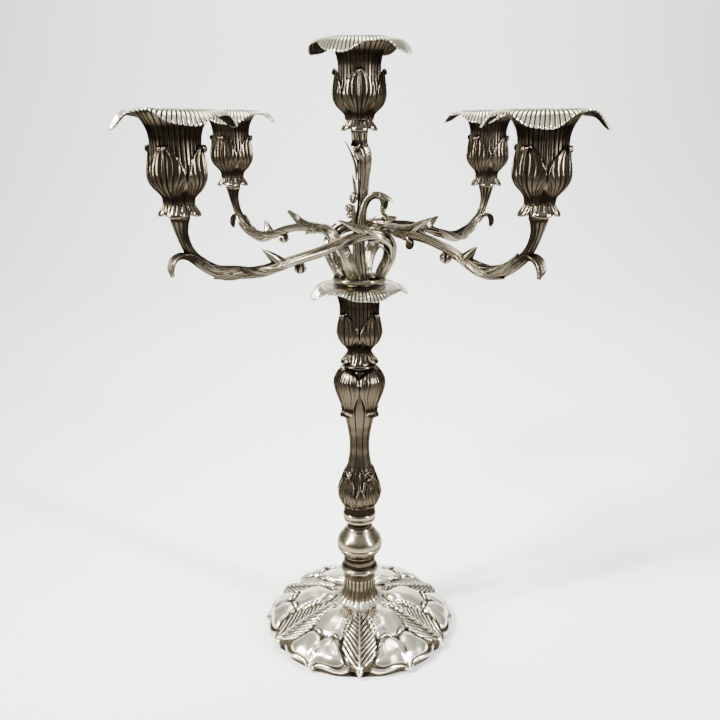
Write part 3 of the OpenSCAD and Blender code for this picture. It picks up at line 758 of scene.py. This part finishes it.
class Arm:
    """The centre line of one arm, and leaves laid along it."""

    def __init__(self, dip, slim):
        rows = [[x, y, ARM_FOOT + h - dip * share, r * (1 - slim * hump(x - 95, 38))]
                for x, y, h, r, share in ARM_LINE]
        self.path = even(spline(rows, 12), 240)
        self.share = np.linspace(0, 1, len(self.path))
        self.along, self.up, self.side = frame_along(self.path[:, :3])

    def share_at(self, out):
        """Share of the arm's length at distance out from the centre, beyond the loop."""
        loop_end = 0.12
        past = self.share > loop_end
        return float(np.interp(out, self.path[past, 0], self.share[past]))

    def at(self, table, share):
        return np.column_stack([np.interp(share, self.share, column) for column in table.T])

    def point(self, share, turn, lift):
        """A point lift above the surface, turn degrees round from the top, and the way out there."""
        share = np.atleast_1d(share)
        centre = self.at(self.path, share)
        a = np.radians(turn)[:, None] if np.ndim(turn) else math.radians(turn)
        out = unit(np.cos(a) * self.at(self.up, share) + np.sin(a) * self.at(self.side, share))
        return centre[:, :3] + (centre[:, 3] + lift)[:, None] * out, out

    def spike(self, start, end, lift, radius):
        """Tapering thorn that leaves the top of the arm."""
        t = np.linspace(0, 1, 40)
        spine, _ = self.point(start + (end - start) * t, np.zeros(40), smooth_at(lift, t))

        def flutes(a, s):
            return 1 - 0.14 * hump(np.sin(3 * a), 0.4)

        return tube(spine, smooth_at(radius, t), around=30, relief=flutes)

    def leaf(self, start, end, turn, lift, half, wrap, rows=60, **shape):
        """Leaf from one share of the arm to another, the lists giving its course from start to end."""
        t = np.linspace(0, 1, rows)
        spine, out = self.point(start + (end - start) * t, smooth_at(turn, t), smooth_at(lift, t))
        return leaf(spine, out, smooth_at(half, t), smooth_at(wrap, t), **shape)


def square_to(axis):
    """Two unit vectors square to an axis and to each other."""
    up = unit(np.cross(axis, [0.31, 0.9, 0.17]))
    return up, np.cross(axis, up)


def ball(centre, axis, radius, length, ribs, depth, rows=18, around=30):
    """Ribbed bud round a centre, its ribs running from pole to pole along axis."""
    axis = unit(np.array(axis, float))
    up, side = square_to(axis)
    pole = 0.12
    polar = np.linspace(pole, math.pi - pole, rows)[:, None]
    a = angles(around).T
    r = radius * np.sin(polar) * (1 + depth * np.cos(ribs * a))
    grid = (np.array(centre, float) + (-radius * length * np.cos(polar))[..., None] * axis
            + (r * np.cos(a))[..., None] * up + (r * np.sin(a))[..., None] * side)
    return shell(grid, caps=True)


def socket(centre, axis, side):
    """Small round cup: side is (along, radius) on its axis, down the outside and back up inside."""
    axis = unit(axis)
    up, other = square_to(axis)
    around = 28
    along, r = spline(side, 4).T[..., None]
    a = angles(around).T
    grid = (centre + along[..., None] * axis + (r * np.cos(a))[..., None] * up
            + (r * np.sin(a))[..., None] * other)
    return shell(grid, caps=True)


def coil(centre, axis, start, radius, wire, turns):
    """Scroll: a rod wound into its own middle about axis, starting in the direction start."""
    axis, start = unit(axis), unit(start)
    other = np.cross(axis, start)
    t = np.linspace(0, 1, 40)
    a, r = TAU * turns * t, radius * (1 - 0.78 * t)
    spine = centre + (r * np.cos(a))[:, None] * start + (r * np.sin(a))[:, None] * other
    return tube(spine, wire * (1 - 0.45 * t), around=12, across=axis)


VEINED = dict(thick=1.5, ribs=(4, 0.5), veins=(3, 1.1, 0.5), lobes=0.1, midrib=0.9, columns=41, rim=0.3)


def arm_relief(a, s):
    """Grain, strands and flutes of an arm, round it and along it."""
    strands = -0.2 * hump(np.sin(a + 5 * s), 0.34) * (1 - step(s, 0.24, 0.36))
    grain = -0.07 * hump(np.sin(2.5 * a + 5 * s), 0.3) * (1 - step(s, 0.8, 0.88))
    twist = -0.13 * hump(np.sin(4 * a + 34 * s), 0.4) * step(s, 0.52, 0.62) * (1 - step(s, 0.8, 0.86))
    flute = -0.15 * hump(np.sin(5.5 * a), 0.38) * step(s, 0.8, 0.88) * (1 - 0.4 * step(s, 0.97, 1))
    return 1 + strands + grain + twist + flute


def leaves_along(arm, rows):
    """Leaves on an arm, a row for each: start, end, turn, lift, half width, radius it bends round."""
    return [arm.leaf(*row, **VEINED) for row in rows]


def sheathing_leaves(arm):
    """Four leaves round the foot of an arm."""
    return leaves_along(arm, [
        (0, 0.16, [40, 50, 60, 60], [0.3, 0.5, 0.6, 2.2], [4.5, 5, 4, 0.8], [5.4, 5.2, 5, 6]),
        (0, 0.12, [-120, -130, -140, -150], [0.3, 0.6, 0.8, 3], [4.5, 5, 3.6, 0.8], [5.4, 5.2, 5, 6]),
        (0.01, 0.19, [-30, -40, -45, -50], [0.3, 0.9, 1.6, 3.4], [4.5, 7, 6.4, 0.8], [5.4, 5.6, 5.6, 6]),
        (0.02, 0.17, [140, 150, 160, 170], [0.3, 0.9, 1.4, 3], [4.5, 6.6, 5.6, 0.8], [5.4, 5.6, 5.4, 6])])


def crossing_leaves(arm, low, high, rise, blunt):
    """Leaf folded round the arm where the arms cross, its tip clear on a spike, and one under it."""
    folded = dict(VEINED, rows=80, columns=45, thick=1.7, ribs=(4, 0.55), veins=(3, 1.2, 0.4))
    at = arm.share_at
    start, middle, end = at(low), at(0.5 * (low + high)), at(high)
    return [arm.leaf(start, end, [-50, -30, -15, 0, 5, 5], [0.3, 0.9, 1.5, 0.3 * rise, 0.66 * rise, rise],
                     [3.8, 7.2, 8.6, 7.6, 6, 2.2], [5, 5.4, 5.4, 5, 4.4, 3.4], **folded),
            arm.spike(middle, end, [-2, -1, 0.3 * rise, 0.64 * rise, rise],
                      [3.8, 3.9, 3.2 + 0.4 * blunt, 2 + 0.5 * blunt, 0.9 * blunt]),
            arm.leaf(start + 0.01, at(0.55 * low + 0.45 * high), [150, 170, 190, 200], [0.3, 0.9, 1.2, 3],
                     [3.8, 6.6, 5.6, 1], [5, 5.4, 5, 4], **VEINED)]


def scroll(arm, share):
    """Scroll at the side of the arm, with the leaf that it grows from."""
    spot, out = arm.point(share, 160, 3.6)
    along = arm.at(arm.along, np.array([share]))[0]
    rod = coil(spot[0], np.cross(out[0], along), -out[0], radius=4.6, wire=2.3, turns=1.6)
    return [rod, *leaves_along(arm, [
        (share - 0.09, share + 0.01, [60, 90, 120, 150], [0.4, 0.9, 1.3, 2.6], [2.6, 5, 4.4, 1.4],
         [5, 5.2, 5.2, 6])])]


def bud_under(arm, share):
    """Bud on a short stalk under the arm."""
    below = 178
    spot, out = arm.point(share, below, 3.6)
    root, _ = arm.point(share - 0.012, below, -1)
    stalk = np.linspace(root[0], spot[0], 8)
    return [ball(spot[0], out[0], 4.9, length=1.05, ribs=5, depth=0.22, rows=24, around=40),
            tube(stalk, np.linspace(2.1, 1.6, 8), around=12, across=(0.1, 1, 0))]


def twisted_leaves(arm):
    """Leaves round the low part of the arm, a row for each: distances out, turn, lift, half width."""
    return leaves_along(arm, [
        (arm.share_at(start), arm.share_at(end), turn, lift, half, [5.2, 5.4, 5.6, 4])
        for start, end, turn, lift, half in (
            (98, 146, [-150, -120, -80, -50], [0.3, 0.9, 1.1, 2.2], [2.6, 5.6, 5.2, 0.8]),
            (118, 166, [60, 90, 130, 170], [0.3, 0.9, 1.1, 2.2], [2.6, 5.8, 5.4, 0.8]),
            (138, 181, [-20, -60, -90, -110], [0.3, 0.9, 1.2, 2.2], [2.8, 6, 5.4, 0.8]),
            (150, 186, [120, 90, 60, 40], [0.3, 0.9, 1.2, 2.2], [2.8, 6, 5, 0.8]))])


def hooked_leaf(reach, wide, drop):
    """Big leaf sheathing the outer bend from below, its tip hooked outwards."""
    # out, across, height above the plate, half width, radius it bends round
    hook = np.array([
        [136, 2.4, 21.6, 3, 6], [148, 2, 19, 7, 6], [162, 1.2, 21.4, 9.6, 6.2], [176, 0.4, 28.6, 10.2, 6],
        [186, 0, 36.2, 9.6, 5.8],
        [192.5 + 0.4 * reach, 0, 40.8 - 0.4 * drop, 8.2, 6],
        [198.6 + 0.8 * reach, 0, 42 - drop, 7 * wide, 6 * wide],
        [203.6 + reach, 0, 39.4 - drop, 6.8 * wide, 6 * wide],
        [206 + reach, 0, 34 - drop, 5.6 * wide, 5.6 * wide],
        [205.8 + reach, 0, 28.8 - drop, 1.2, 4]])
    hook[:, 2] += ARM_FOOT
    hook = even(spline(hook, 8), 110)
    along = unit(np.gradient(hook[:, :3], axis=0))
    return leaf(hook[:, :3], -np.cross(along, [0, 1.0, 0]), hook[:, 3], hook[:, 4], thick=3.4,
                ribs=(7, 0.5), veins=(5, 1.1, 0.3), lobes=0.05, midrib=1.0, columns=57, rim=0.3)


UPRIGHT = ([0, 0, 1], [0, 0, 1])


def arm_shells(name, spec):
    arm = Arm(spec["dip"], spec["slim"])
    shells = [tube(arm.path[:, :3], arm.path[:, 3], around=110, relief=arm_relief, ends=UPRIGHT)]
    shells += sheathing_leaves(arm)
    shells += crossing_leaves(arm, *spec["leaf"], spec["blunt"])
    if spec["scroll"]:
        shells += scroll(arm, arm.share_at(spec["scroll"]))
    shells += bud_under(arm, arm.share_at(spec["bud"]))
    low, high, rise = spec["thorn"]
    shells.append(arm.spike(arm.share_at(low), arm.share_at(high), [-3, 0, 0.35 * rise, 0.7 * rise, rise],
                            [4.2, 4.9, 3.9, 2.3, 0.5]))
    shells += twisted_leaves(arm)
    shells.append(hooked_leaf(*spec["hook"]))
    # Painted shade on the outer part of the front arms, from 90 mm out and full beyond 150 mm
    return swung(toned_by_place(shells, lambda r, z: spec["darkening"] * step(r, 90, 150)), SIDES[name])


for side_name, spec in CASTINGS.items():
    piece(f"arm_{side_name}", "cast", arm_shells(side_name, spec), "branches", SILVER_HALF_LIT)


def above(*points):
    """Points whose heights are given above the plate."""
    points = np.array(points, float)
    points[:, 2] += ARM_FOOT
    return points


BLADE = dict(thick=0.9, ribs=(3, 0.12), veins=(6, 0.5, 0.15), lobes=0.05, midrib=0.4)


def free_leaf(points, face, half, wrap=6.0, **more):
    """Leaf through points above the plate, its face turned one way throughout."""
    rows = 34
    path = even(spline(above(*points), 8), rows)
    face = np.broadcast_to(np.array(face, float), path.shape)
    return leaf(path, face, smooth_at(half, np.linspace(0, 1, rows)), wrap, **{**BLADE, **more})


def stem_rod():
    rows = [[0, 0, 0, 7.8], [0, 0, 8, 6.9], [-0.5, 0, 30, 6.2], [1, 0, 50, 5.4], [3, 0, 74, 5],
            [4, 0, 96, 5.8], [4, 0, 107, 6.6], [3.6, 0, 115, 7.9], [1.4, 0, 121.4, 7.4],
            [0.3, 0, 126, 7.3], [0, 0, 130, 7.6], [0, 0, CENTRE_WAIST - COLLAR - ARM_FOOT, 7.8]]
    path = even(spline(rows, 10), 200)
    path[:, 2] += ARM_FOOT

    def bark(a, s):
        seams = -0.14 * hump(np.sin(4.5 * a + 1.6 * np.sin(6 * s)), 0.36)
        lines = -0.05 * hump(np.sin(11.5 * a + 5 * s), 0.5)
        knot = 0.12 * hump(s - 0.855, 0.022) * np.clip(np.cos(a), 0, 1)
        return 1 + seams + lines + knot

    return tube(path[:, :3], path[:, 3], around=72, relief=bark, ends=UPRIGHT)


def twig():
    """Lopped twig at the left, with leaves standing behind it and up the stem."""
    line = even(spline(above([0.6, -1.6, 114], [-1.8, -4.6, 120.4], [-3.4, -8.6, 124.6]), 8), 14)
    rod = tube(line[:9], np.linspace(4.8, 4, 9), around=24, relief=lambda a, s: 1 + 0.06 * np.cos(7 * a))
    end = socket(line[-1], line[-1] - line[-4], [
        [-6, 3.2], [-4, 4], [-1, 4.5], [0.6, 4.7], [1.3, 4.5], [1.5, 4], [1, 3.6], [-2, 3.4], [-4.6, 2.8]])
    behind = [(-3.4, -1, 92), (-4, -2, 103), (-6.6, -3, 113), (-10.4, -4, 121.6), (-13.6, -4.4, 127.6)]
    left = [(-2.6, -3.4, 74), (-4.6, -4.2, 82), (-5.4, -4.4, 90), (-7.2, -4.6, 97)]
    right = [(8.2, -2, 93), (9.6, -3, 101), (10.4, -3, 108), (11.6, -3, 112.4)]
    return [rod, end,
            free_leaf(behind, (-0.9, -0.5, 0.2), [1.2, 2.4, 2.4, 1.6, 0.4], 5),
            free_leaf(left, (-0.8, -0.6, 0), [1.4, 3, 2.6, 0.5], 5),
            free_leaf(right, (0.8, -0.6, 0), [1.6, 3.6, 3, 0.8])]


def tendril():
    """Flower tendril arching to the right: its rod, three petals and a bud."""
    arch = even(spline(above(
        [0.6, -5.6, 40, 3], [1, -8.2, 52, 3.2], [3, -9.6, 64, 3.1], [7, -10.6, 74.2, 3],
        [13, -11.4, 79, 3.1], [19, -11.6, 79, 3.5]), 8), 60)

    def strands(a, s):
        return 1 - 0.16 * hump(np.sin(2.5 * a), 0.4) + 0.12 * np.cos(2 * a)

    over = [(9.5, -11, 79), (16, -11.6, 82), (22.4, -11.8, 80.4), (27.6, -11.8, 77), (31, -11.8, 73)]
    inner = [(15, -11.6, 78.6), (19, -12.4, 76), (21.4, -12.8, 71), (21, -12.8, 66), (22, -12.6, 61)]
    outer = [(23.4, -11.6, 78), (25.6, -12.4, 74), (25.4, -12.8, 70), (24.4, -12.6, 66)]
    return [tube(arch[:, :3], arch[:, 3], around=28, relief=strands),
            free_leaf(over, (0.1, -0.55, 0.8), [3, 6, 6.6, 4.6, 1], 4, ribs=(7, 0.35), thick=1.5),
            free_leaf(inner, (-0.3, -0.8, -0.4), [3.4, 5.6, 5, 4, 1.6], 3, thick=1.6),
            free_leaf(outer, (0.5, -0.7, -0.3), [3, 4.6, 3.6, 1], 3.4),
            ball(above([23.4, -12.4, 59])[0], (0.5, 0, -0.8), 3.6, 1.15, 5, 0.22)]


def forked_stalk():
    """Three buds and two leaves on a forked stalk at the left."""
    course = above([-2, -2, 42, 2.6], [-4, -3.4, 51, 2.3], [-5.6, -4, 60, 2.1], [-6, -4, 69, 2])
    line = even(spline(course, 8), 26)
    behind = [(-2, -4.6, 44), (-5, -6.4, 53), (-5.4, -7, 62), (-5.6, -7, 70)]
    front = [(-2.4, -5.4, 43), (-4.6, -7, 50), (-4.8, -7.4, 57), (-6, -7.2, 63)]
    return [tube(line[:, :3], line[:, 3], around=16, relief=lambda a, s: 1 + 0.08 * np.cos(5 * a)),
            ball(above([-5.8, -4, 76])[0], (0.1, 0, 1), 3.3, 1.65, 7, 0.2, rows=24),
            ball(above([-10, -5, 67])[0], (-0.5, 0, 0.8), 3.5, 1.1, 5, 0.24),
            ball(above([-9.6, -4.6, 60.6])[0], (-0.8, 0, -0.3), 2.9, 1.1, 5, 0.24),
            free_leaf(behind, (-0.2, -0.95, 0.1), [1.6, 3.2, 2.8, 0.5]),
            free_leaf(front, (-0.1, -1, 0.1), [1.4, 2.6, 2.2, 0.4])]


def tendril_foot():
    """Leaves and a spike where the tendril leaves the stem."""
    spike = even(spline(above([4, -6, 44], [9, -7.2, 51.6], [15.6, -8.4, 60.6]), 6), 20)
    upper = [(4, -6, 42), (9, -8, 47.6), (14.6, -8.8, 50.4), (18.4, -8.8, 48.4)]
    lower = [(4, -6.4, 40), (9, -8.4, 42.4), (13, -9, 41), (15.4, -9, 36.6)]
    standing = [(0, -7, 34), (2.6, -9.4, 40.6), (3, -10.4, 46), (5.4, -10.8, 50)]
    return [free_leaf(upper, (0, -0.75, 0.65), [2, 3.8, 3.4, 1.2]),
            free_leaf(lower, (0, -0.8, 0.5), [2, 3.4, 2.8, 0.8]),
            tube(spike, np.linspace(1.8, 0.5, 20), around=12),
            free_leaf(standing, (0.1, -1, 0), [2.4, 3.8, 3, 0.6])]


# The bead lies on the plate, beside the foot of the right-hand loop
BEAD = ball(above([11.6, -13, 3.4])[0], (0, 0, 1), 3.8, 0.9, 8, 0.04, rows=24, around=40)
# The stem is made darker towards its top, from 117 to 127 mm above where it stands
STEM = toned_by_place([stem_rod(), *twig(), *tendril(), *forked_stalk(), BEAD, *tendril_foot()],
              lambda r, z: 0.22 * step(z - ARM_FOOT, 117, 127))
PLATE_SIDE = [[0, 25], [0.6, 25.8], [1.6, 26], [3, 25.9], [4, 25.2], [4.2, 24.4], [3.7, 23.4], [3.1, 22],
              [3, 14]]
PLATE = turned([[PLATE_Z + height, radius] for height, radius in PLATE_SIDE], bore=4.2)
piece("centre_stem", "twig", STEM, "branches", SILVER_HALF_LIT)
piece("branch_plate", "turned", [PLATE], "branches", SILVER_HALF_LIT)


# ---- camera, light and floor ----

def camera():
    """Camera fitted to the photograph: where it stands in metres, and how far it looks down."""
    data = bpy.data.cameras.new("camera")
    data.sensor_width = 36
    data.lens = 41
    eye = bpy.data.objects.new("camera", data)
    eye.location = (0.0005, -0.781, 0.536)
    down = 16.8
    eye.rotation_euler = (math.radians(90 - down), 0, 0)
    link(eye)
    bpy.context.scene.camera = eye


def paper_floor():
    """White paper that runs back under the object and curves up behind it."""
    paper = bpy.data.materials.new("paper")
    paper.use_nodes = True
    shader = paper.node_tree.nodes["Principled BSDF"]
    shader.inputs["Base Color"].default_value = (0.9, 0.9, 0.89, 1)
    shader.inputs["Roughness"].default_value = 0.9
    front, foot_of_wall, wall_top, bend, half_width = -6, 1.6, 3, 0.8, 7
    curve = [(foot_of_wall + bend * math.sin(t), bend - bend * math.cos(t))
             for t in np.linspace(0, math.pi / 2, 12)]
    outline = [(front, 0), *curve, (foot_of_wall + bend, wall_top)]
    verts = [(x, y, z) for x in (-half_width, half_width) for y, z in outline]
    n = len(outline)
    data = bpy.data.meshes.new("floor")
    data.from_pydata(verts, [], [[k, n + k, n + k + 1, k + 1] for k in range(n - 1)])
    data.shade_smooth()
    data.materials.append(paper)
    floor = bpy.data.objects.new("floor", data)
    link(floor)


def lamp(name, where, aim, size, watts, spread, colour):
    light = bpy.data.lights.new(name, "AREA")
    light.shape = "RECTANGLE"
    light.size, light.size_y = size
    light.spread = math.radians(spread)
    light.energy = watts
    light.color = colour
    holder = bpy.data.objects.new(name, light)
    holder.location = where
    away = np.array(where) - np.array(aim)
    tilt = math.atan2(math.hypot(away[0], away[1]), away[2])
    holder.rotation_euler = (tilt, 0, math.atan2(away[0], -away[1]))
    link(holder)


def studio_sky():
    """World that is dim at the horizon and bright overhead, for the metal to reflect."""
    world = bpy.data.worlds.new("studio")
    bpy.context.scene.world = world
    world.use_nodes = True
    nodes, links = world.node_tree.nodes, world.node_tree.links
    way = nodes.new("ShaderNodeTexCoord")
    split = nodes.new("ShaderNodeSeparateXYZ")
    links.new(way.outputs["Generated"], split.inputs["Vector"])
    ramp = nodes.new("ShaderNodeValToRGB")
    horizon, zenith = ramp.color_ramp.elements
    horizon.position = 0.0
    horizon.color = (0.3, 0.29, 0.275, 1)
    zenith.position = 1.0
    zenith.color = (1.2, 1.19, 1.15, 1)
    ramp.color_ramp.elements.new(0.45).color = (0.45, 0.437, 0.415, 1)
    links.new(split.outputs["Z"], ramp.inputs["Fac"])
    links.new(ramp.outputs["Color"], nodes["Background"].inputs["Color"])


camera()
paper_floor()
lamp("key", (-1.4, -0.9, 1.9), (0, 0.1, 0.3), (0.3, 0.3), 14, 55, (1, 0.97, 0.92))
lamp("left", (-1.3, -0.5, 0.9), (0, 0, 0.35), (0.09, 1.1), 11, 60, (1, 0.98, 0.95))
lamp("right", (1.3, -0.8, 0.9), (0, 0, 0.35), (0.09, 1.0), 11, 60, (0.97, 0.98, 1))
lamp("top", (0, 0.8, 2.5), (0, 0.8, 0), (1.4, 1.4), 18, 75, (1, 0.99, 0.97))
lamp("backdrop", (0, 0.4, 2.2), (0, 2.2, 0.6), (1.6, 1.6), 60, 100, (1, 1, 1))
studio_sky()
